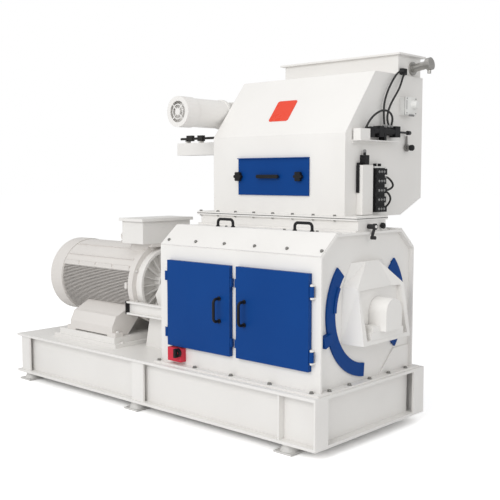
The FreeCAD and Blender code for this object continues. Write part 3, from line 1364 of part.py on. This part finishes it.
def main():
    os.makedirs("parts", exist_ok=True)
    save("base_frame", base_frame())
    save("levelling_feet", levelling_feet())
    save("mill_casing", mill_casing())
    save("slope_covers", group([slope_cover(-1), slope_cover(1)]))
    save("slope_cover_handles", cover_handles())
    save("casing_bolts", casing_bolts())
    doors = (("front_left_door", DOOR_LEFT_X, False, 688.0),
             ("front_right_door", DOOR_RIGHT_X, True, 897.0))
    for name, x0, hinge_right, handle_x in doors:
        save(name, door(x0, hinge_right, -1))
        save(name + "_handle", door_handle(handle_x, -1))
        rear = joined([door(x0, hinge_right, 1), door_handle(handle_x, 1)])
        save(name.replace("front", "rear"), rear)
    save("door_hinge_brackets", hinge_brackets())
    save("rotor_shaft", rotor_shaft())
    save("rotor_discs", rotor_discs())
    save("hammer_pins", hammer_pins())
    for index in range(4):
        save("hammer_row_%d" % (index + 1), hammer_row(index))
    save("front_screen", screen(FRONT_SCREEN_ARC))
    save("rear_screen", screen(REAR_SCREEN_ARC))
    save("front_screen_cover", front_screen_cover())
    save("rear_screen_cover", rear_screen_cover())
    save("bearing_bracket", bearing_bracket())
    save("bearing_housings", bearing_housings())
    save("bearing_inner_rings", bearing_inner_rings())
    save("coupling_guard", coupling_guard())
    mill_half = coupling_half(COUPLING_MILL_X, (-70, -38), JOURNAL_R)
    save("coupling_mill_half", group([mill_half, coupling_element()]))
    save("motor_frame", motor_frame())
    save("motor_end_shields", group([motor_end_shield(), motor_rear_shield()]))
    save("motor_fan_cowl", motor_fan_cowl())
    save("motor_fan", motor_fan())
    save("motor_rotor", motor_rotor())
    save("motor_stator", motor_stator())
    terminal_box()
    save("motor_bolts", motor_bolts())
    save("neck_chute", neck_chute())
    save("feeder_casing", feeder_casing())
    save("inlet_collar", inlet_collar())
    save("magnet_bank", magnet_bank())
    save("feed_roll", feed_roll())
    save("feeder_gearmotor", gearmotor())
    save("inspection_hatch", inspection_hatch())
    save("hatch_grip", hatch_grip())
    save("hatch_stud_knob", star_knob(HATCH_KNOB_X[0]))
    save("hatch_pivot_knob", star_knob(HATCH_KNOB_X[1]))
    save("badge_plate", badge_plate())
    shelf = air_cylinder()
    carrier = box(FEEDER_X1, FEEDER_X1 + 46, 95, 205, 1352, 1657)
    save("control_brackets", group([shelf, carrier, side_tray()]))
    save("trap_flap", trap_flap())
    save("valve_island", valve_island())
    save("air_hoses", air_hoses())
    save("junction_box", junction_box())
    save("level_sensor", level_sensor())
    isolator()
    save("neck_lever", neck_lever())


if __name__ == "__main__":
    main()
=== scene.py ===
import json
import math

import bmesh
import bpy
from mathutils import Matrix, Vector


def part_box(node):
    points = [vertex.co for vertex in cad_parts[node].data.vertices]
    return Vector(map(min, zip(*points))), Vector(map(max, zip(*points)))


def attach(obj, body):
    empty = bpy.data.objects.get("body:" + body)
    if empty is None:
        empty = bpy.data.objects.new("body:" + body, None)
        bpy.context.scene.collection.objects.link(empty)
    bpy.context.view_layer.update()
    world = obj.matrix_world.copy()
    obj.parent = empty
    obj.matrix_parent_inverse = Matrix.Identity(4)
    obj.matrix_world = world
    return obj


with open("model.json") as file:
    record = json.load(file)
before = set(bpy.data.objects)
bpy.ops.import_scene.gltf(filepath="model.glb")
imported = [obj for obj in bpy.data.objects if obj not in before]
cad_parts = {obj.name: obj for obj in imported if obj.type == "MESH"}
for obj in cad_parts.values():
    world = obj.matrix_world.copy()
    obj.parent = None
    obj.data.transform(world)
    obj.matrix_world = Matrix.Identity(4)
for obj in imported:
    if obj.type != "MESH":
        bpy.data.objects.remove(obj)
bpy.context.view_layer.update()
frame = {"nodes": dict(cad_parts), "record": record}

NODES = frame["nodes"]

# ---------------------------------------------------------------- colours (linear)
WHITE = (0.84, 0.825, 0.80)
WHITE_SHADE = (0.76, 0.74, 0.715)
MOTOR_WHITE = (0.75, 0.72, 0.69)
BLUE = (0.002, 0.052, 0.240)
BLUE_SHADE = (0.001, 0.041, 0.200)
BLACK = (0.008, 0.008, 0.009)
BADGE = (0.80, 0.055, 0.018)
SWITCH_RED = (0.56, 0.025, 0.050)
STEEL = (0.46, 0.45, 0.43)
DARK_STEEL = (0.20, 0.195, 0.19)
WHITE_CHIP = (0.55, 0.53, 0.50)

# ---------------------------------------------------------------- light
SKY_LIGHT = 0.60                                # sky strength on the machine
FLOOR_SEEN = 1.7                                # floor brightness that the camera sees

# ---------------------------------------------------------------- places taken from the CAD frame
FEEDER_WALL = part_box("valve_island")[0][0]      # right end wall of the feeder
NECK_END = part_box("neck_lever")[0][0]           # right end of the neck
DOOR_SEAT = 0.482                               # back of the door pans, from the centre plane
CARRIER_FRONT = 0.095                           # front edge of the white valve carrier
FLAP_SHAFT = (0.640, 1.774)                     # Y and Z of the trap flap shaft
HOSE_PORTS = ((0.031, 0.345), (0.042, 0.375), (0.039, 0.412))   # from the wall, and Y
VALVE_PITCH = 0.058
LOWEST_VALVE = 1.385                            # Z of the lowest row of valve buttons
BUTTON_COLUMNS = (0.248, 0.276, 0.304)          # Y of the three columns of valve buttons
LOOP_ENDS = ((0.044, 1.579), (0.044, 1.504), (0.027, 1.485), (0.027, 1.395))   # wall offset, Z
NECK_KNOB = (0.150, 1.290)                      # Y and Z of the knob on the neck
SEAT = 0.0005                                   # how far an added piece sinks into its seat


# ---------------------------------------------------------------- node helpers
class Graph:
    """Small wrapper that adds shader nodes to a new or given material and links them."""

    def __init__(self, name="", material=None):
        self.material = material or bpy.data.materials.new(name)
        self.material.use_nodes = True
        self.tree = self.material.node_tree
        self.shader = self.tree.nodes["Principled BSDF"]

    def add(self, kind, inputs=None, **settings):
        node = self.tree.nodes.new(kind)
        for key, value in settings.items():
            setattr(node, key, value)
        for key, value in (inputs or {}).items():
            self.feed(node.inputs[key], value)
        return node

    def feed(self, socket, value):
        if isinstance(value, bpy.types.NodeSocket):
            self.tree.links.new(value, socket)
        else:
            socket.default_value = value

    def set(self, **inputs):
        for key, value in inputs.items():
            self.feed(self.shader.inputs[key.replace("_", " ")], value)

    def coords(self):
        return self.add("ShaderNodeTexCoord").outputs["Object"]

    def noise(self, scale, detail=3.0, rough=0.55, vector=None):
        vector = vector or self.coords()
        inputs = {"Vector": vector, "Scale": scale, "Detail": detail, "Roughness": rough}
        return self.add("ShaderNodeTexNoise", inputs).outputs["Fac"]

    def ramp(self, value, low, high, out_low=0.0, out_high=1.0):
        inputs = {"Value": value, "From Min": low, "From Max": high, "To Min": out_low,
                  "To Max": out_high}
        return self.add("ShaderNodeMapRange", inputs, clamp=True).outputs["Result"]

    def mix(self, factor, a, b, blend="MIX"):
        node = self.add("ShaderNodeMix", data_type="RGBA", blend_type=blend)
        self.feed(node.inputs[0], factor)
        self.feed(node.inputs[6], rgba(a))
        self.feed(node.inputs[7], rgba(b))
        return node.outputs[2]

    def math(self, operation, a, b=0.0):
        node = self.add("ShaderNodeMath", operation=operation)
        self.feed(node.inputs[0], a)
        self.feed(node.inputs[1], b)
        return node.outputs[0]

    def edge_mask(self, radius, sharpness=6.0):
        """Bright along outer edges: where a rounded normal leaves the flat normal."""
        soft = self.add("ShaderNodeBevel", {"Radius": radius}, samples=4).outputs[0]
        flat = self.add("ShaderNodeNewGeometry").outputs["Normal"]
        dot = self.add("ShaderNodeVectorMath", operation="DOT_PRODUCT")
        self.feed(dot.inputs[0], soft)
        self.feed(dot.inputs[1], flat)
        away = self.math("SUBTRACT", 1.0, dot.outputs["Value"])
        return self.math("MINIMUM", self.math("MULTIPLY", away, sharpness), 1.0)

    def bump(self, height, strength, distance, rounding=0.002):
        """Fine relief on top of a normal that is rounded over at the edges."""
        soft = self.add("ShaderNodeBevel", {"Radius": rounding}, samples=4).outputs[0]
        inputs = {"Height": height, "Strength": strength, "Distance": distance, "Normal": soft}
        self.set(Normal=self.add("ShaderNodeBump", inputs).outputs["Normal"])


def rgba(colour):
    return (*colour, 1.0) if isinstance(colour, tuple) and len(colour) == 3 else colour


# ---------------------------------------------------------------- materials
def enamel(name, colour, shade, chip, rough=0.38, gloss=0.45):
    """Sprayed machine enamel: cloudy tone, orange peel and worn edges."""
    g = Graph(name)
    cloud = g.ramp(g.noise(1.7, 4.0), 0.35, 0.7)
    base = g.mix(g.math("MULTIPLY", cloud, 0.45), colour, shade)
    edge = g.edge_mask(0.004)
    broken = g.ramp(g.noise(60.0, 4.0), 0.52, 0.62)
    wear = g.math("MULTIPLY", edge, broken)
    g.set(Base_Color=g.mix(g.math("MULTIPLY", wear, 0.5), base, chip))
    smear = g.ramp(g.noise(5.0, 5.0, 0.65), 0.3, 0.75, rough - 0.07, rough + 0.10)
    g.set(Roughness=smear)
    g.set(Specular_IOR_Level=gloss)
    peel = g.noise(260.0, 2.0)
    g.bump(peel, 0.06, 0.0006)
    return g.material


def moulded(name, colour, rough=0.5, grain=900.0):
    """Moulded plastic with a fine grain and slightly polished edges."""
    g = Graph(name)
    tone = g.ramp(g.noise(9.0, 3.0), 0.3, 0.7)
    lift = tuple(min(1.0, c * 1.35 + 0.004) for c in colour)
    edge = g.edge_mask(0.0025)
    base = g.mix(g.math("MULTIPLY", tone, 0.5), colour, lift)
    rubbed = tuple(min(1, c + 0.05) for c in lift)
    g.set(Base_Color=g.mix(g.math("MULTIPLY", edge, 0.35), base, rubbed))
    g.set(Roughness=g.ramp(g.noise(40.0, 3.0), 0.3, 0.7, rough - 0.08, rough + 0.08))
    g.set(Specular_IOR_Level=0.25)
    g.bump(g.noise(grain, 2.0), 0.12, 0.0004)
    return g.material


def metal(name, colour, rough=0.32, stretch=(1.0, 1.0, 1.0), scale=140.0):
    """Turned, rolled or zinc-plated steel with fine brushed streaks and dull patches."""
    g = Graph(name)
    mapping = g.add("ShaderNodeMapping", {"Vector": g.coords(), "Scale": stretch})
    streak = g.noise(scale, 4.0, 0.6, mapping.outputs["Vector"])
    patch = g.ramp(g.noise(14.0, 4.0), 0.35, 0.7)
    dark = tuple(c * 0.72 for c in colour)
    base = g.mix(g.math("MULTIPLY", patch, 0.6), colour, dark)
    edge = g.edge_mask(0.002)
    rubbed = tuple(min(1, c * 1.5) for c in colour)
    g.set(Base_Color=g.mix(g.math("MULTIPLY", edge, 0.4), base, rubbed))
    g.set(Metallic=0.92)
    g.set(Roughness=g.ramp(streak, 0.25, 0.75, rough - 0.08, rough + 0.16))
    g.bump(streak, 0.08, 0.0005)
    return g.material


def rubber(name, colour):
    """Dull rubber with dusty patches."""
    g = Graph(name)
    tone = g.ramp(g.noise(30.0, 4.0), 0.35, 0.7)
    dusty = tuple(min(1, c + 0.03) for c in colour)
    g.set(Base_Color=g.mix(g.math("MULTIPLY", tone, 0.4), colour, dusty))
    g.set(Roughness=g.ramp(g.noise(80.0, 3.0), 0.3, 0.7, 0.58, 0.78))
    g.bump(g.noise(500.0, 3.0), 0.2, 0.0005)
    return g.material


def tray_finish():
    """White enamel, with the rods and valves on the side tray in dark metal."""
    material = enamel("tray_enamel", WHITE, WHITE_SHADE, WHITE_CHIP)
    g = Graph(material=material)
    split = g.add("ShaderNodeSeparateXYZ", {"Vector": g.coords()})
    low = g.math("GREATER_THAN", split.outputs["Z"], 1.8475)
    high = g.math("LESS_THAN", split.outputs["Z"], 1.896)
    left = g.math("LESS_THAN", split.outputs["X"], 0.149)
    mask = g.math("MULTIPLY", g.math("MULTIPLY", low, high), left)
    paint_socket = g.shader.inputs["Base Color"].links[0].from_socket
    g.set(Base_Color=g.mix(mask, paint_socket, (0.055, 0.053, 0.05)))
    g.set(Metallic=g.math("MULTIPLY", mask, 0.8))
    return material


WHITE_PAINT = enamel("white_enamel", WHITE, WHITE_SHADE, WHITE_CHIP)
MOTOR_PAINT = enamel("motor_enamel", MOTOR_WHITE, (0.68, 0.65, 0.62), (0.45, 0.43, 0.41),
                     0.5, 0.3)
BLUE_PAINT = enamel("blue_enamel", BLUE, BLUE_SHADE, (0.06, 0.13, 0.30), 0.44, 0.13)
RED_PLATE = enamel("badge_enamel", BADGE, (0.70, 0.045, 0.015), (0.85, 0.3, 0.22), 0.3)
RED_PLASTIC = moulded("switch_red", SWITCH_RED, 0.36)
BLACK_PLASTIC = moulded("black_moulded", BLACK, 0.46)
LIGHT_PLASTIC = moulded("light_moulded", (0.72, 0.72, 0.70), 0.4)
GREY_PLASTIC = moulded("grey_moulded", (0.22, 0.22, 0.22), 0.5)
BLACK_STEEL = enamel("black_enamel", BLACK, (0.02, 0.02, 0.02), (0.12, 0.12, 0.12), 0.34)
BRIGHT_STEEL = metal("bright_steel", STEEL, 0.30)
PLAIN_STEEL = metal("plain_steel", (0.33, 0.32, 0.31), 0.42)
HARD_STEEL = metal("hard_steel", DARK_STEEL, 0.38)
DARK_IRON = metal("dark_iron", (0.07, 0.07, 0.07), 0.6)
ZINC = metal("zinc_bolts", (0.30, 0.295, 0.28), 0.36)
HOSE = rubber("hose_rubber", (0.014, 0.014, 0.014))
FOOT = enamel("foot_enamel", (0.70, 0.69, 0.67), (0.6, 0.59, 0.57), (0.4, 0.39, 0.37), 0.5)

FINISHES = {
    "white_paint": WHITE_PAINT, "blue_paint": BLUE_PAINT, "black_plastic": BLACK_PLASTIC,
    "black_steel": BLACK_STEEL, "hose_rubber": HOSE, "bright_steel": BRIGHT_STEEL,
    "plain_steel": PLAIN_STEEL, "hard_steel": HARD_STEEL, "dark_iron": DARK_IRON,
    "grey_plastic": GREY_PLASTIC, "grey_rubber": FOOT, "light_plastic": LIGHT_PLASTIC,
    "badge_red": RED_PLATE, "switch_red": RED_PLASTIC,
}


def paint(node, material):
    mesh = NODES[node].data
    mesh.materials.clear()
    mesh.materials.append(material)


def paint_all():
    for row in frame["record"]["subparts"]:
        paint(row["node"], FINISHES[row["material_slot"]])
    paint("casing_bolts", ZINC)
    paint("cylinder_rod", BLACK_STEEL)
    paint("control_brackets", tray_finish())
    for node in ("motor_frame", "motor_fan_cowl"):
        paint(node, MOTOR_PAINT)


# ---------------------------------------------------------------- mesh helpers
def new_piece(name, shape, material, body, angle=32.0):
    """Object from a bmesh, shaded smooth except at sharp edges, riding on a body."""
    bmesh.ops.recalc_face_normals(shape, faces=shape.faces)
    for edge in shape.edges:
        edge.smooth = len(edge.link_faces) == 2 and edge.calc_face_angle() < math.radians(angle)
    for face in shape.faces:
        face.smooth = True
    mesh = bpy.data.meshes.new(name)
    shape.to_mesh(mesh)
    shape.free()
    mesh.materials.append(material)
    piece = bpy.data.objects.new(name, mesh)
    bpy.context.scene.collection.objects.link(piece)
    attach(piece, body)
    return piece


def block(name, low, high, rounding, material, body="housing"):
    """Box between two corners with rounded edges."""
    shape = bmesh.new()
    bmesh.ops.create_cube(shape, size=1.0)
    for vertex in shape.verts:
        for k in range(3):
            vertex.co[k] = low[k] if vertex.co[k] < 0 else high[k]
    bmesh.ops.bevel(shape, geom=list(shape.edges), offset=rounding, segments=3, affect="EDGES",
                    profile=0.6)
    return new_piece(name, shape, material, body)


def turned(name, profile, centre, axis, material, body="housing", steps=40, lobes=0, swell=0.0):
    """Lathe solid from (distance along the axis, radius) pairs. Lobes make a star shape."""
    shape = bmesh.new()
    towards = Vector(axis).normalized()
    side = towards.orthogonal().normalized()
    other = towards.cross(side)
    rings = []
    for along, radius in profile:
        ring = []
        for i in range(steps):
            angle = 2 * math.pi * i / steps
            reach = radius * (1 + swell * math.cos(lobes * angle)) if lobes else radius
            place = Vector(centre) + towards * along
            place += (side * math.cos(angle) + other * math.sin(angle)) * reach
            ring.append(shape.verts.new(place))
        rings.append(ring)
    for a, b in zip(rings, rings[1:]):
        for i in range(steps):
            k = (i + 1) % steps
            shape.faces.new((a[i], a[k], b[k], b[i]))
    shape.faces.new(rings[0])
    shape.faces.new(rings[-1][::-1])
    return new_piece(name, shape, material, body)


def frame_strip(name, outer_low, outer_high, inset, axis, material, body="housing"):
    """Rectangular ring, such as a seal, with its opening along one axis."""
    shape = bmesh.new()
    across = [k for k in range(3) if k != axis]
    loops = []
    for side in (outer_low[axis], outer_high[axis]):
        for margin in (0.0, inset):
            loop = []
            for u, v in ((0, 0), (1, 0), (1, 1), (0, 1)):
                place = [0.0, 0.0, 0.0]
                place[axis] = side
                for k, pick in zip(across, (u, v)):
                    place[k] = outer_high[k] - margin if pick else outer_low[k] + margin
                loop.append(shape.verts.new(place))
            loops.append(loop)
    for a, b in ((0, 1), (1, 3), (3, 2), (2, 0)):
        for i in range(4):
            k = (i + 1) % 4
            shape.faces.new((loops[a][i], loops[a][k], loops[b][k], loops[b][i]))
    return new_piece(name, shape, material, body)


# ---------------------------------------------------------------- added pieces
def rail_shadow_blocks():
    """Black blocks at the motor ends of the two guard rails: painted shadow, dark boxes standing in for the
    shadowed gap between the rail ends and the motor flange.
    """
    low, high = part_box("coupling_guard")
    for side, name in ((-1, "rail_shadow_front"), (1, "rail_shadow_rear")):
        edge = high[1] if side > 0 else low[1]
        y0, y1 = sorted((edge + side * 0.001, edge - side * 0.036))
        # painted shadow: a black block where the rail end lies in shade
        block(name, (low[0] - 0.005, y0, low[2] - 0.001), (low[0] + 0.008, y1, low[2] + 0.094),
              0.002, BLACK_PLASTIC)


def door_seals():
    """Black rubber seal between every door pan and the casing."""
    leaves = {"front_left_door": "front_left_leaf", "front_right_door": "front_right_leaf",
              "rear_left_door": "rear_left_leaf", "rear_right_door": "rear_right_leaf"}
    for node, body in leaves.items():
        low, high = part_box(node)
        left = "left" in node
        x0 = low[0] + (0.030 if left else 0.016)
        x1 = high[0] - (0.016 if left else 0.030)
        y0, y1 = DOOR_SEAT - 0.0015, DOOR_SEAT + 0.004
        if "front" in node:
            y0, y1 = -y1, -y0
        frame_strip(node + "_seal", (x0, y0, low[2] + 0.001), (x1, y1, high[2] - 0.001), 0.014, 1,
                    HOSE, body)


def control_details():
    """Knobs, unions, collars and buttons among the controls on the right-hand side."""
    wall = FEEDER_WALL
    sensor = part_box("level_sensor")[0][0]
    block("collar_union", (sensor + 0.0005, 0.578, 2.2455), (sensor + 0.026, 0.632, 2.286), 0.003,
          BLACK_PLASTIC)
    turned("neck_knob", [(0.0, 0.009), (0.006, 0.013), (0.010, 0.017), (0.024, 0.018),
                         (0.029, 0.015), (0.031, 0.006)], (NECK_END - SEAT, *NECK_KNOB), (1, 0, 0),
           BLACK_PLASTIC, steps=60, lobes=6, swell=0.10)
    turned("flap_knob", [(0.0, 0.013), (0.004, 0.019), (0.022, 0.020), (0.028, 0.016),
                         (0.030, 0.006)], (wall + 0.0345, *FLAP_SHAFT), (1, 0, 0), BLACK_PLASTIC,
           "flap")
    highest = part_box("air_cylinder")[1]
    for k, (x, y) in enumerate(HOSE_PORTS):
        turned("hose_collar_%d" % k, [(0.0, 0.0105), (0.002, 0.0115), (0.010, 0.0115),
                                      (0.013, 0.0095), (0.014, 0.0085)],
               (wall + x, y, highest[2] - 0.012), (0, 0, 1), GREY_PLASTIC)
    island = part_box("valve_island")[1][0]
    for i in range(5):
        for j, y in enumerate(BUTTON_COLUMNS):
            turned("valve_button_%d_%d" % (i, j), [(0.0, 0.0075), (0.001, 0.008), (0.005, 0.0078),
                                                   (0.0065, 0.006)],
                   (island - 2 * SEAT, y, LOWEST_VALVE + VALVE_PITCH * i), (1, 0, 0), GREY_PLASTIC, steps=20)
    for k, (x, z) in enumerate(LOOP_ENDS):
        turned("loop_collar_%d" % k, [(0.0, 0.0090), (0.002, 0.0100), (0.014, 0.0100), (0.018, 0.0085),
                                      (0.021, 0.0080)],
               (wall + x, 0.3285, z), (0, 1, 0), GREY_PLASTIC, steps=24)
    turned("switch_tip", [(0.0, 0.0085), (0.004, 0.0095), (0.014, 0.0095), (0.018, 0.006)],
           (wall + 0.022, 0.146, 1.7345), (0, 0, 1), GREY_PLASTIC, steps=24)
    block("carrier_cable", (wall + 0.0015, CARRIER_FRONT - 0.009, 1.487),
          (wall + 0.023, CARRIER_FRONT + 0.0005, 1.656), 0.004, BLACK_PLASTIC)
    block("switch_lead", (wall + 0.004, CARRIER_FRONT - 0.008, 1.640),
          (wall + 0.020, 0.130, 1.672), 0.004, BLACK_PLASTIC)
    block("island_cap", (wall + 0.004, 0.224, 1.6395), (wall + 0.054, 0.334, 1.650), 0.003,
          LIGHT_PLASTIC)


def cable_box_details():
    """Seam, slot and lid screws of the cable box on the right end wall."""
    low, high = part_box("junction_box")
    lid = low[0] + 0.052
    frame_strip("cable_box_seam", (lid - 0.010, low[1] - 0.0012, low[2] - 0.0012),
                (lid - 0.008, high[1] + 0.0012, high[2] + 0.0012), 0.004, 0, GREY_PLASTIC)
    block("cable_box_slot", (lid - 0.001, low[1] + 0.007, high[2] - 0.080),
          (lid + 0.0012, low[1] + 0.013, high[2] - 0.022), 0.0005, GREY_PLASTIC)
    block("cable_box_latch", (lid - 0.001, low[1] + 0.036, low[2] - 0.009),
          (lid + 0.008, high[1] - 0.040, low[2] + 0.004), 0.002, GREY_PLASTIC)
    for i, y in enumerate((low[1] + 0.012, high[1] - 0.012)):
        for j, z in enumerate((low[2] + 0.012, high[2] - 0.010)):
            turned("cable_box_screw_%d_%d" % (i, j), [(0.0, 0.0044), (0.001, 0.0046), (0.0024, 0.0036)],
                   (lid - 0.0004, y, z), (1, 0, 0), ZINC, steps=20)


def flange_seal():
    """Dark edge of the gasket between the neck and the feeder."""
    low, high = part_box("neck_chute")
    z = high[2]
    frame_strip("feeder_gasket", (low[0] - 0.0006, low[1] + 0.0054, z - 0.0018),
                (1.4176, high[1] + 0.0006, z + 0.0018), 0.004, 2, HOSE)


# ---------------------------------------------------------------- stage
def stage():
    scene = bpy.context.scene
    world = bpy.data.worlds.new("studio")
    scene.world = world
    world.use_nodes = True
    tree = world.node_tree
    path = tree.nodes.new("ShaderNodeLightPath")
    level = tree.nodes.new("ShaderNodeMapRange")
    level.inputs["To Min"].default_value = SKY_LIGHT
    level.inputs["To Max"].default_value = 1.0
    tree.links.new(path.outputs["Is Camera Ray"], level.inputs["Value"])
    tree.links.new(level.outputs["Result"], tree.nodes["Background"].inputs["Strength"])
    tree.nodes["Background"].inputs["Color"].default_value = (1.0, 1.0, 1.0, 1.0)
    scene.view_settings.view_transform = "Standard"

    mesh = bpy.data.meshes.new("studio_floor")
    size = 60.0
    mesh.from_pydata([(-size, -size, 0), (size, -size, 0), (size, size, 0), (-size, size, 0)], [],
                     [(0, 1, 2, 3)])
    floor = bpy.data.objects.new("studio_floor", mesh)
    scene.collection.objects.link(floor)
    g = Graph("studio_floor")
    lit = g.add("ShaderNodeLightPath").outputs["Is Camera Ray"]
    grain = g.ramp(g.noise(0.8, 4.0), 0.3, 0.7, 0.97, 1.0)
    level = g.math("MULTIPLY", grain, g.ramp(lit, 0.0, 1.0, 0.9, FLOOR_SEEN))
    tone = g.add("ShaderNodeCombineColor", {"Red": level, "Green": level, "Blue": level})
    matt = g.add("ShaderNodeBsdfDiffuse", {"Color": tone.outputs[0]})
    g.tree.links.new(matt.outputs[0], g.tree.nodes["Material Output"].inputs["Surface"])
    floor.data.materials.append(g.material)

    def area(name, place, target, size_m, power):
        light = bpy.data.lights.new(name, "AREA")
        light.shape = "RECTANGLE"
        light.size, light.size_y = size_m
        light.energy = power
        lamp = bpy.data.objects.new(name, light)
        lamp.location = place
        aim = Vector(target) - Vector(place)
        lamp.rotation_euler = aim.to_track_quat("-Z", "Y").to_euler()
        scene.collection.objects.link(lamp)

    area("key", (1.6, -7.2, 4.6), (0.3, 0, 1.1), (5.0, 4.0), 262)
    area("fill", (7.0, -1.0, 3.6), (0.6, 0, 1.2), (4.0, 4.0), 50)
    area("top", (0.0, -0.8, 6.5), (0.0, 0, 0.4), (5.0, 4.0), 44)


def camera():
    scene = bpy.context.scene
    lens = bpy.data.cameras.new("camera")
    lens.sensor_width = 36.0
    lens.lens = 60.57
    lens.shift_x = 0.0032
    lens.shift_y = -0.0036
    eye = bpy.data.objects.new("camera", lens)
    eye.location = (4.281, -4.164, 1.587)
    eye.rotation_euler = (math.radians(90.0 - 4.87), 0.0, math.radians(42.52))
    scene.collection.objects.link(eye)
    scene.camera = eye


paint_all()
# black blocks at the rail ends as painted shadow
rail_shadow_blocks()
door_seals()
control_details()
cable_box_details()
flange_seal()
stage()
camera()
